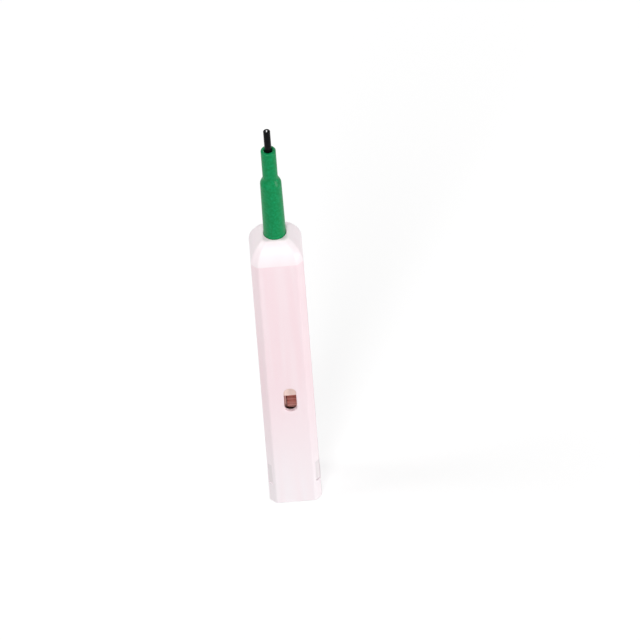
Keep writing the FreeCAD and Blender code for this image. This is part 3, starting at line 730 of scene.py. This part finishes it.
def raise_face(mesh: bmesh.types.BMesh, face: bmesh.types.BMFace, rise: float,
               spread: float = 1.0) -> bmesh.types.BMFace:
    """Extrudes a level face upwards and scales the new one about the pen's axis.

    Args:
        mesh: The bmesh.
        face: The face to extrude.
        rise: The distance upwards.
        spread: The new face's scale.

    Returns:
        The new top face.
    """
    made = bmesh.ops.extrude_face_region(mesh, geom=[face])["geom"]
    top = next(item for item in made if isinstance(item, bmesh.types.BMFace))
    bmesh.ops.translate(mesh, verts=top.verts, vec=Vector((0, 0, rise)))
    bmesh.ops.scale(mesh, verts=top.verts, vec=Vector((spread, spread, 1)))
    return top


def block(low: Vector, high: Vector) -> bmesh.types.BMesh:
    """A box between two corners."""
    mesh = bmesh.new()
    bmesh.ops.create_cube(mesh, size=1.0)
    bmesh.ops.scale(mesh, verts=mesh.verts, vec=high - low)
    bmesh.ops.translate(mesh, verts=mesh.verts, vec=(low + high) / 2)
    return mesh


# ------------------------------------------------------------------ case
@dataclass
class Case:
    """White square sleeve with a swelling shoulder, a viewing window and latch openings."""

    shop: Workshop
    wall: float = 1.5 * MM
    corner: float = 2.2 * MM
    body_height: float = 111.0 * MM
    plateau_width: float = 8.8 * MM
    bulge: float = 1.0 * MM
    ceiling_drop: float = 1.0 * MM
    hole_gap: float = 0.15 * MM
    window_size: tuple[float, float] = (4.3 * MM, 10.8 * MM)
    window_centre: tuple[float, float] = (0.7 * MM, 48.2 * MM)
    latch_range: tuple[float, float] = (8.5 * MM, 17.5 * MM)
    ridge_round: float = 0.5 * MM
    foot_round: float = 0.35 * MM
    window_round: float = 0.3 * MM
    shoulder_steps: int = 28
    window_steps: int = 20
    edge_steps: int = 3

    def __post_init__(self) -> None:
        """Reads the sleeve's outer size from its node."""
        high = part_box("outer_case")[1]
        self.half = high.x
        self.top = high.z

    def shoulder_halves(self) -> list[tuple[float, float]]:
        """Half widths and heights up the shoulder's arc.

        Returns:
            Pairs of (half width, height), the foot left out.
        """
        foot = Vector((self.half, self.body_height))
        head = Vector((self.plateau_width / 2, self.top))
        chord = head - foot
        outward = Vector((chord.y, -chord.x)).normalized()
        radius = chord.length ** 2 / (8 * self.bulge) + self.bulge / 2
        centre = (foot + head) / 2 - outward * (radius - self.bulge)
        start = math.atan2(*(foot - centre).yx)
        end = math.atan2(*(head - centre).yx)
        angles = [start + (end - start) * i / self.shoulder_steps
                  for i in range(1, self.shoulder_steps + 1)]
        return [(centre.x + radius * math.cos(a), centre.y + radius * math.sin(a))
                for a in angles]

    def shell(self) -> bmesh.types.BMesh:
        """The sleeve's outer form, solid inside.

        Returns:
            The bmesh.
        """
        mesh, top = column(self.half, self.corner, 0.0, self.ridge_round)
        top = raise_face(mesh, top, self.body_height)
        half, height = self.half, self.body_height
        for next_half, next_height in self.shoulder_halves():
            top = raise_face(mesh, top, next_height - height, next_half / half)
            half, height = next_half, next_height
        bmesh.ops.recalc_face_normals(mesh, faces=mesh.faces)
        foot = [e for e in mesh.edges if max(v.co.z for v in e.verts) < WELD]
        round_edges(mesh, foot, self.foot_round, self.edge_steps)
        brow = [e for e in sharp_edges(mesh, BROW_ANGLE)
                if min(v.co.z for v in e.verts) > self.top - NEAR]
        round_edges(mesh, brow, self.foot_round, self.edge_steps)
        return mesh

    def cavity(self) -> bmesh.types.BMesh:
        """The space inside the sleeve.

        Returns:
            The bmesh.
        """
        inner_corner = self.corner - self.wall * (2 - math.sqrt(2))
        mesh, top = column(self.half - self.wall, inner_corner, -self.wall)
        raise_face(mesh, top, self.body_height - self.ceiling_drop + self.wall)
        bmesh.ops.recalc_face_normals(mesh, faces=mesh.faces)
        return mesh

    def window(self) -> bmesh.types.BMesh:
        """The obround cutter of the viewing window.

        Returns:
            The bmesh.
        """
        width, height = self.window_size
        radius = width / 2
        mesh = bmesh.new()
        verts: list[bmesh.types.BMVert] = []
        for side, start in ((1, 0.0), (-1, 180.0)):
            middle = (self.window_centre[0],
                      self.window_centre[1] + side * (height / 2 - radius))
            verts += [mesh.verts.new((x, -self.half - self.wall, z))
                      for x, z in arc(middle, radius, start, start + 180.0,
                                  self.window_steps)]
        face = mesh.faces.new(verts)
        made = bmesh.ops.extrude_face_region(mesh, geom=[face])["geom"]
        moved = [item for item in made if isinstance(item, bmesh.types.BMVert)]
        through = 2.5 * self.wall
        bmesh.ops.translate(mesh, verts=moved, vec=Vector((0, through, 0)))
        bmesh.ops.recalc_face_normals(mesh, faces=mesh.faces)
        return mesh

    def build(self) -> bpy.types.Object:
        """Builds and dresses the sleeve.

        Returns:
            The piece.
        """
        shop = self.shop
        shell = shop.piece("case_shell", self.shell())
        hole_radius = NOZZLE_ROOT + self.hole_gap
        hole_foot, hole_head = self.body_height - self.wall, self.top + self.wall
        hole = turned([(0, hole_foot), (hole_radius, hole_foot), (hole_radius, hole_head),
                       (0, hole_head)])
        low_z, high_z = self.latch_range
        inner = self.half - self.wall
        reach = self.half + self.wall
        cutters = [self.cavity(), hole, self.window()]
        cutters += [block(Vector((low, -reach, low_z)), Vector((high, reach, high_z)))
                    for low, high in ((-reach, -inner), (inner, reach))]
        for cutter in cutters:
            shop.carve(shell, shop.piece("cutter", cutter))
        mesh = bmesh.new()
        mesh.from_mesh(shell.data)
        bmesh.ops.remove_doubles(mesh, verts=mesh.verts, dist=NEAR)
        front = [e for e in sharp_edges(mesh, RIM_ANGLE) if self.on_window_rim(e)]
        round_edges(mesh, front, self.window_round, 4)
        openings = [e for e in sharp_edges(mesh, RIM_ANGLE) if self.on_latch_rim(e)]
        round_edges(mesh, openings, self.window_round / 2, 2)
        discard(shell)
        piece = shop.piece("case_shell", mesh, 25.0)
        shop.even_shading(piece)
        return shop.stand_for(piece, "outer_case")

    def on_window_rim(self, edge: bmesh.types.BMEdge) -> bool:
        """Whether an edge is on the window's outer rim."""
        width, height = self.window_size
        return all(abs(v.co.y + self.half) < NEAR
                   and abs(v.co.x - self.window_centre[0]) < width
                   and abs(v.co.z - self.window_centre[1]) < height for v in edge.verts)

    def on_latch_rim(self, edge: bmesh.types.BMEdge) -> bool:
        """Whether an edge is on the outer rim of a latch opening."""
        on_skin = all(abs(abs(v.co.x) + abs(v.co.y) - 2 * self.half + self.corner) < 10 * NEAR
                      or abs(abs(v.co.x) - self.half) < NEAR for v in edge.verts)
        at_end = all(any(abs(v.co.z - level) < NEAR for level in self.latch_range)
                     for v in edge.verts)
        return on_skin and at_end


# ------------------------------------------------------------------ nozzle and tip
@dataclass
class Nozzle:
    """Green stepped nozzle with a rounded lip, over its keyed flange and stem."""

    shop: Workshop
    root_radius: float = NOZZLE_ROOT
    waist_radius: float = 3.65 * MM
    neck_radius: float = 2.6 * MM
    barrel_length: float = 23.0 * MM
    cone_length: float = 2.7 * MM
    neck_length: float = 12.3 * MM
    bore_radius: float = 1.45 * MM
    spring_bore_radius: float = 3.1 * MM
    spring_bore_top: float = 15.32 * MM
    seam: float = 6.2 * MM
    lip_round: float = 0.55 * MM
    inner_lip_share: float = 0.7
    cone_blend: float = 0.4 * MM
    cone_steps: int = 12

    def outline(self) -> list[tuple[float, float]]:
        """Outline of the part above the seam, up the outside and down the bore.

        Returns:
            Points of (radius, height).
        """
        low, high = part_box("nozzle")
        barrel_top = high.z - self.neck_length - self.cone_length
        neck_foot = high.z - self.neck_length
        lip = self.lip_round
        inner_lip = lip * self.inner_lip_share
        points = [(self.spring_bore_radius, low.z + self.seam),
                  (self.root_radius, low.z + self.seam),
                  (self.root_radius, barrel_top - self.barrel_length)]
        points += self.shoulder(barrel_top, neck_foot)
        points += arc((self.neck_radius - lip, high.z - lip), lip, 0, 90, 8)
        points += arc((self.bore_radius + inner_lip, high.z - inner_lip), inner_lip, 90, 180, 6)
        step = low.z + self.spring_bore_top
        points += [(self.bore_radius, step), (self.spring_bore_radius, step)]
        return points

    def key(self) -> bmesh.types.BMesh:
        """The node's own eight-sided flange, stem and rim, up to the seam.

        Returns:
            The bmesh.
        """
        mesh = self.shop.welded_copy("nozzle")
        seam = Vector((0, 0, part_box("nozzle")[0].z + self.seam))
        cut = bmesh.ops.bisect_plane(mesh, geom=mesh.verts[:] + mesh.edges[:] + mesh.faces[:],
                                     plane_co=seam, plane_no=Z_AXIS, clear_outer=True)
        rims = [item for item in cut["geom_cut"] if isinstance(item, bmesh.types.BMEdge)]
        bmesh.ops.bridge_loops(mesh, edges=rims)
        return mesh

    def shoulder(self, foot: float, head: float) -> list[tuple[float, float]]:
        """Softly blended cone between barrel and neck.

        Args:
            foot: Height where the barrel ends.
            head: Height where the neck starts.

        Returns:
            Points of (radius, height).
        """
        points = [(self.waist_radius, foot - self.cone_blend)]
        for i in range(1, self.cone_steps):
            share = i / self.cone_steps
            ease = 0.55 * share + 0.45 * share * share * (3 - 2 * share)
            points.append((self.waist_radius + (self.neck_radius - self.waist_radius) * ease,
                           foot + (head - foot) * share))
        points.append((self.neck_radius, head + self.cone_blend))
        return points

    def build(self) -> bpy.types.Object:
        """Builds and dresses the nozzle.

        Returns:
            The piece.
        """
        mesh = turned(self.outline(), steps=128)
        key = self.shop.piece("nozzle_key", self.key())
        mesh.from_mesh(key.data)
        discard(key)
        piece = self.shop.piece("nozzle_body", mesh, 40.0)
        return self.shop.stand_for(piece, "nozzle")


@dataclass
class Tip:
    """Black tube with a hairpin of twisted thread over its end."""

    shop: Workshop
    shank_radius: float = 1.0 * MM
    bore_radius: float = 0.6 * MM
    protrusion: float = 8.7 * MM
    rim_round: float = 0.28 * MM
    strand_radius: float = 0.13 * MM
    strand_orbit: float = 0.12 * MM
    strands: int = 3
    lay_length: float = 1.3 * MM
    end_gap: float = 0.03 * MM
    points_a_turn: int = 8
    bend_steps: int = 10

    def tube(self) -> bpy.types.Object:
        """Builds the tube.

        Returns:
            The piece.
        """
        low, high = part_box("tip_tube")
        radius = high.x
        rim = self.rim_round
        step = high.z - self.protrusion
        outline = [(self.bore_radius, low.z), (self.shank_radius, low.z),
                   (self.shank_radius, step), (radius, step)]
        outline += arc((radius - rim, high.z - rim), rim, 0, 90, 7)
        inner = rim * 0.5
        outline += arc((self.bore_radius + inner, high.z - inner), inner, 90, 180, 4)
        piece = self.shop.piece("tip_barrel", turned(outline, steps=72), 40.0)
        return self.shop.stand_for(piece, "tip_tube")

    def hairpin(self) -> list[Vector]:
        """Centre line of the thread, up one side and down the other.

        Returns:
            Evenly spaced points.
        """
        low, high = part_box("wiping_thread")
        reach = high.x
        spread = (high.y - low.y) / 2 - reach
        bend_z = high.z - reach - spread - self.end_gap
        spacing = self.lay_length / self.points_a_turn
        count = int((bend_z - low.z) / spacing)
        rising = [Vector((0, -spread, low.z + (bend_z - low.z) * i / count))
                  for i in range(count)]
        bend = [Vector((0, -spread * math.cos(a), bend_z + spread * math.sin(a)))
                for a in (math.pi * i / self.bend_steps for i in range(self.bend_steps + 1))]
        falling = [Vector((0, spread, point.z)) for point in reversed(rising)]
        return rising + bend + falling

    def thread(self) -> bpy.types.Object:
        """Builds the hairpin of twisted strands.

        Returns:
            The piece.
        """
        path = self.hairpin()
        curve = bpy.data.curves.new("strands", "CURVE")
        curve.dimensions = "3D"
        curve.bevel_depth = self.strand_radius
        curve.bevel_resolution = 1
        curve.use_fill_caps = True
        for strand in range(self.strands):
            phase = 2 * math.pi * strand / self.strands
            spline = curve.splines.new("POLY")
            spline.points.add(len(path) - 1)
            for i, (point, centre) in enumerate(zip(spline.points, path)):
                ahead = path[min(i + 1, len(path) - 1)] - path[max(i - 1, 0)]
                side = X_AXIS.cross(ahead.normalized())
                angle = phase + 2 * math.pi * i / self.points_a_turn
                offset = (X_AXIS * math.cos(angle) + side * math.sin(angle))
                point.co = (*(centre + offset * self.strand_orbit), 1.0)
        holder = put("strands", curve)
        graph = bpy.context.evaluated_depsgraph_get()
        data = bpy.data.meshes.new_from_object(holder.evaluated_get(graph))
        bpy.data.objects.remove(holder)
        bpy.data.curves.remove(curve)
        mesh = bmesh.new()
        mesh.from_mesh(data)
        bpy.data.meshes.remove(data)
        piece = self.shop.piece("tip_thread", mesh, 60.0)
        return self.shop.stand_for(piece, "wiping_thread")

    def build(self) -> None:
        """Builds the tube, its thread, its collar and its cross key."""
        self.tube()
        self.thread()
        self.shop.softened_copy("tip_collar", 0.12 * MM)
        self.shop.softened_copy("cross_key", 0.08 * MM)


# ------------------------------------------------------------------ springs and thread
@dataclass
class CoilSpring:
    """Round-wire compression spring with closed ends."""

    shop: Workshop
    node: str
    wire: float
    turns: int
    joint: str
    travel: float
    end_turns: float = 1.0
    steps: int = 28
    sides: int = 12

    def build(self) -> bpy.types.Object:
        """Builds the spring and gives it a mesh of its own.

        Returns:
            The piece.
        """
        low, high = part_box(self.node)
        radius = (high.x - low.x) / 2 - self.wire / 2
        height = high.z - low.z - self.wire
        closed = self.wire * 1.02
        active = self.turns - 2 * self.end_turns
        rise = (height - 2 * self.end_turns * closed) / active
        mesh = bmesh.new()
        made = bmesh.ops.create_circle(mesh, cap_ends=False, segments=self.sides,
                                       radius=self.wire / 2)
        bmesh.ops.rotate(mesh, verts=made["verts"], cent=Vector(),
                         matrix=Matrix.Rotation(math.pi / 2, 3, "X"))
        bmesh.ops.translate(mesh, verts=made["verts"],
                            vec=Vector((radius, 0, low.z + self.wire / 2)))
        rim = [e for v in made["verts"] for e in v.link_edges]
        front: list[bmesh.types.BMVert | bmesh.types.BMEdge] = list(
            dict.fromkeys([*made["verts"], *rim]))
        first = [item for item in front if isinstance(item, bmesh.types.BMEdge)]
        for turns, pitch in ((self.end_turns, closed), (active, rise), (self.end_turns, closed)):
            count = round(self.steps * turns)
            made = bmesh.ops.spin(mesh, geom=front, cent=Vector(), axis=Z_AXIS,
                                  dvec=Vector((0, 0, pitch * turns / count)),
                                  angle=2 * math.pi * turns, steps=count, use_merge=False,
                                  use_normal_flip=False, use_duplicate=False)
            front = made["geom_last"]
        last = [item for item in front if isinstance(item, bmesh.types.BMEdge)]
        for ring in (first, last):
            bmesh.ops.contextual_create(mesh, geom=ring)
        piece = self.shop.piece(f"{self.node}_wire", mesh, 50.0)
        self.shop.stand_for(piece, self.node)
        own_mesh(piece)
        return piece


@dataclass
class Winding:
    """Thread wound on a reel, turn beside turn over a solid core."""

    shop: Workshop
    node: str
    thread: float = 0.5 * MM
    hub_radius: float = 2.42 * MM
    steps: int = 64
    sides: int = 10

    def build(self) -> bpy.types.Object:
        """Builds the winding.

        Returns:
            The piece.
        """
        low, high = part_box(self.node)
        middle = (low + high) / 2
        outer = (high.z - low.z) / 2
        radius = self.thread / 2
        width = high.x - low.x
        turns = int(width / self.thread)
        pitch = width / turns
        axle = Vector((0, 0, middle.z))
        core = outer - radius
        mesh = turned([(self.hub_radius, low.x), (core, low.x), (core, high.x),
                       (self.hub_radius, high.x)], Along.AXLE, axle, self.steps)
        for turn in range(turns):
            ring = bmesh.ops.create_circle(mesh, cap_ends=False, segments=self.sides,
                                           radius=radius)
            place = Vector((low.x + pitch * (turn + 0.5), core, middle.z))
            bmesh.ops.translate(mesh, verts=ring["verts"], vec=place)
            edges = list(dict.fromkeys(e for v in ring["verts"] for e in v.link_edges))
            spin_full(mesh, ring["verts"] + edges, axle, X_AXIS, self.steps)
        piece = self.shop.piece(f"{self.node}_turns", mesh, 60.0)
        return self.shop.stand_for(piece, self.node)


# ------------------------------------------------------------------ studio
@dataclass(frozen=True)
class SoftLamp:
    """Large area lamp aimed at the pen."""

    name: str
    place: tuple[float, float, float]
    size: float
    power: float
    colour: Colour = (1.0, 1.0, 1.0)

    def build(self, target: Vector) -> None:
        """Places the lamp.

        Args:
            target: The point that it faces.
        """
        data = bpy.data.lights.new(self.name, "AREA")
        data.shape = "DISK"
        data.size = self.size
        data.energy = self.power
        data.color = self.colour
        lamp = put(self.name, data)
        lamp.location = self.place
        facing = target - Vector(self.place)
        lamp.rotation_euler = facing.to_track_quat("-Z", "Y").to_euler()


@dataclass
class Studio:
    """Pale floor, four soft lamps and the camera."""

    elevation: float = math.radians(43.3)
    swing: float = math.radians(-0.1)
    roll: float = math.radians(4.5)
    distance: float = 6.0
    field_width: float = 0.2184
    aim: tuple[float, float, float] = (0.0130, 0.0, 0.0763)
    floor_size: float = 6.0
    ambient: float = 0.32
    floor_grey: float = 0.45
    floor_glow: float = 0.63
    lamps: tuple[SoftLamp, ...] = (
        SoftLamp("key", (-0.42, -1.45, 0.95), 0.6, 13.6),
        SoftLamp("side", (1.60, -0.85, 0.17), 0.7, 20.0),
        SoftLamp("left", (-1.27, 0.0, 1.35), 0.7, 8.5),
        SoftLamp("rear", (0.50, 1.60, 0.90), 0.7, 8.5),
    )

    def backdrop_seen(self, wire: Wiring) -> bpy.types.NodeSocket:
        """One where a ray sees the backdrop straight, in a reflection or through glass."""
        path = wire.add("LightPath")
        seen = wire.math("MAXIMUM", path.outputs["Is Camera Ray"],
                         path.outputs["Is Glossy Ray"])
        return wire.math("MAXIMUM", seen, path.outputs["Is Transmission Ray"])

    def world(self) -> None:
        """White behind the pen, softer as a light."""
        world = bpy.data.worlds.new("studio")
        bpy.context.scene.world = world
        world.use_nodes = True
        wire = Wiring(world.node_tree)
        sky = world.node_tree.nodes["Background"]
        sky.inputs["Color"].default_value = (1, 1, 1, 1)
        span = wire.add("MapRange")
        wire.join(self.backdrop_seen(wire), span.inputs["Value"])
        span.inputs["To Min"].default_value = self.ambient
        span.inputs["To Max"].default_value = 1.0
        wire.join(span.outputs["Result"], sky.inputs["Strength"])

    def floor(self) -> None:
        """Pale floor that keeps the pen's shadow."""
        mesh = bmesh.new()
        bmesh.ops.create_grid(mesh, x_segments=1, y_segments=1, size=self.floor_size / 2)
        data = bpy.data.meshes.new("floor")
        mesh.to_mesh(data)
        mesh.free()
        floor = put("floor", data)
        material, wire, shader = fresh_material("floor_pale")
        shader.inputs["Base Color"].default_value = opaque((self.floor_grey,) * 3)
        shader.inputs["Roughness"].default_value = 0.9
        shader.inputs["Specular IOR Level"].default_value = 0.0
        glow = wire.math("MULTIPLY", self.backdrop_seen(wire), self.floor_glow)
        shader.inputs["Emission Color"].default_value = (1, 1, 1, 1)
        wire.join(glow, shader.inputs["Emission Strength"])
        data.materials.append(material)

    def camera(self) -> None:
        """Long lens from above the window side, leaned a little."""
        data = bpy.data.cameras.new("camera")
        data.lens = data.sensor_width * self.distance / self.field_width
        camera = put("camera", data)
        level, rise = math.cos(self.elevation), math.sin(self.elevation)
        back = Vector((math.sin(self.swing) * level, -math.cos(self.swing) * level, rise))
        camera.location = Vector(self.aim) + back * self.distance
        turn = (-back).to_track_quat("-Z", "Y").to_matrix()
        lean = Matrix.Rotation(self.roll, 3, "Z")
        camera.rotation_euler = (turn @ lean.inverted()).to_euler()
        bpy.context.scene.camera = camera

    def build(self) -> None:
        """Builds the whole studio."""
        self.world()
        self.floor()
        for lamp in self.lamps:
            lamp.build(Vector(self.aim))
        self.camera()
        bpy.context.scene.view_settings.view_transform = "Standard"


# ------------------------------------------------------------------ assembly
SOFT_EDGES = {
    "base_plug": 0.25, "drive_bar": 0.06, "frame_left": 0.12, "frame_right": 0.12,
    "take_up_axle": 0.15, "supply_axle": 0.15, "guide_pins": 0.12, "brake_finger": 0.05,
    "click_pawl": 0.05, "drive_gear": 0.07, "take_up_reel": 0.07, "supply_reel": 0.1,
    "spindle": 0.1, "feed_thread": 0.0, "return_thread": 0.0,
}
BUILDERS: tuple[Callable[[Workshop], object], ...] = (
    lambda shop: Case(shop).build(),
    lambda shop: Nozzle(shop).build(),
    lambda shop: Tip(shop).build(),
    lambda shop: CoilSpring(shop, "return_spring", 0.8 * MM, 7, "nozzle_push", 8.0 * MM).build(),
    lambda shop: CoilSpring(shop, "tip_spring", 0.4 * MM, 5, "tip_float", 1.5 * MM).build(),
    lambda shop: Winding(shop, "used_thread").build(),
    lambda shop: Winding(shop, "fresh_thread").build(),
)


def node_bodies(record: dict) -> dict[str, str]:
    """The body that each node rides on.

    Args:
        record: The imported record.

    Returns:
        Node name to body name.
    """
    bodies = record["behaviour"]["bodies"]
    return {node: body for body, members in bodies.items() for node in members}


def main() -> None:
    """Dresses every node in order, then builds the studio."""
    logging.basicConfig(level=logging.INFO, format="%(name)s: %(message)s")
    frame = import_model()
    record = frame["record"]
    slots = {part["node"]: part["material_slot"] for part in record["subparts"]}
    shop = Workshop(slots, node_bodies(record), frame["nodes"])
    for builder in BUILDERS:
        builder(shop)
    for node, edge in SOFT_EDGES.items():
        shop.softened_copy(node, edge * MM)
    Studio().build()
    bpy.context.view_layer.update()


if __name__ == "__main__":
    main()
